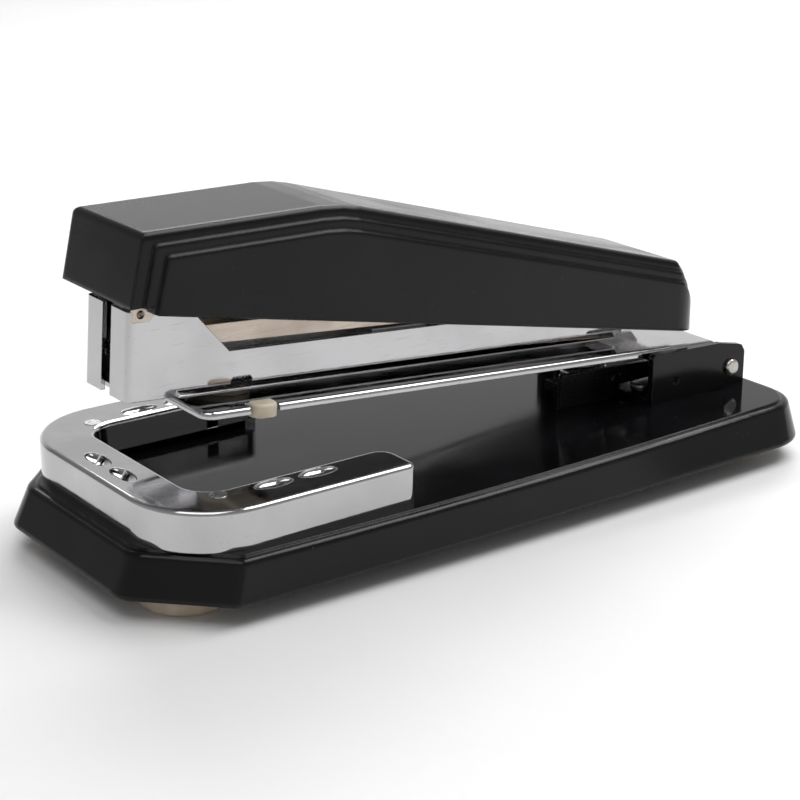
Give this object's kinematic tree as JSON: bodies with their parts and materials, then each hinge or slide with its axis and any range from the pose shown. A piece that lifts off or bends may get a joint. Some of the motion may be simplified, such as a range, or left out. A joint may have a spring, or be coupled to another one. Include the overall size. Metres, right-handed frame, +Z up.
{
  "type": "stapler",
  "caption": "Rotary-head desk stapler: black cover and chrome magazine that swivel on a sprung arm over a wide base with a U-shaped anvil frame.",
  "frame": {"origin": "middle of the rest plane under the feet", "axes": "+X from the staple exit to the rear hinge, +Z up"},
  "size_m": [0.1554, 0.0712, 0.0642],
  "materials": {
    "base_black": "gloss",
    "plate_grey": "satin",
    "feet_cream": "matte",
    "screw_steel": "satin",
    "chrome": "polished",
    "chrome_rivet": "polished",
    "bracket_black": "gloss",
    "channel_black": "gloss",
    "nickel_satin": "satin",
    "spring_steel": "satin",
    "nylon_cream": "satin",
    "press_nickel": "satin",
    "cover_black": "soft gloss",
    "staple_steel": "bright",
    "blade_steel": "satin",
    "pusher_zinc": "satin"
  },
  "bodies": {
    "base": {"base_shell": "base_black", "base_plate": "plate_grey", "rubber_feet": "feet_cream", "base_screws": "screw_steel", "anvil_frame": "chrome", "frame_rivets": "chrome_rivet", "hinge_bracket": "bracket_black", "bracket_rivets": "screw_steel", "spring_channel": "channel_black", "spring_pin": "bracket_black", "arm_lift_spring": "spring_steel", "hinge_pin": "nickel_satin"},
    "arm": {"carrier_plate": "chrome", "swivel_disc": "nylon_cream", "swivel_stud": "nickel_satin"},
    "head": {"magazine_shell": "chrome", "staple_rail": "screw_steel", "staple_strip": "staple_steel", "staple_cover": "press_nickel", "handle_bracket": "screw_steel", "magazine_rivets": "nickel_satin", "nose_cross_pin": "nickel_satin", "pusher_rod": "screw_steel", "pusher_spring": "spring_steel", "handle_spring": "spring_steel"},
    "pusher": {"pusher": "pusher_zinc"},
    "handle": {"top_cover": "cover_black", "press_arm": "press_nickel", "driver_blade": "blade_steel", "driver_holder": "press_nickel", "handle_pin": "nickel_satin", "cover_screws": "screw_steel"}
  },
  "joints": [
    {"name": "arm_hinge", "type": "hinge", "parent": "base", "child": "arm", "pos_m": [0.0677, 0, 0.0163], "axis": [0, -1, 0], "range_deg": [0, 5.8], "stiffness_Nm_per_rad": 1.2, "springref_deg": -9.74, "deforming": ["arm_lift_spring"]},
    {"name": "head_swivel", "type": "hinge", "parent": "arm", "child": "head", "pos_m": [-0.04503, 0, 0.03169], "axis": [0.0802, 0, 0.9968], "range_deg": [-90, 90]},
    {"name": "handle_pivot", "type": "hinge", "parent": "head", "child": "handle", "pos_m": [0.06117, 0, 0.02866], "axis": [0, -1, 0], "range_deg": [-30, 3.9], "stiffness_Nm_per_rad": 0.5, "springref_deg": -6.88, "deforming": ["handle_spring"]},
    {"name": "pusher_slide", "type": "slide", "parent": "head", "child": "pusher", "axis": [0.9968, 0, -0.0802], "range_m": [0, 0.022], "stiffness_N_per_m": 60, "springref_m": -0.02, "deforming": ["pusher_spring"]}
  ]
}
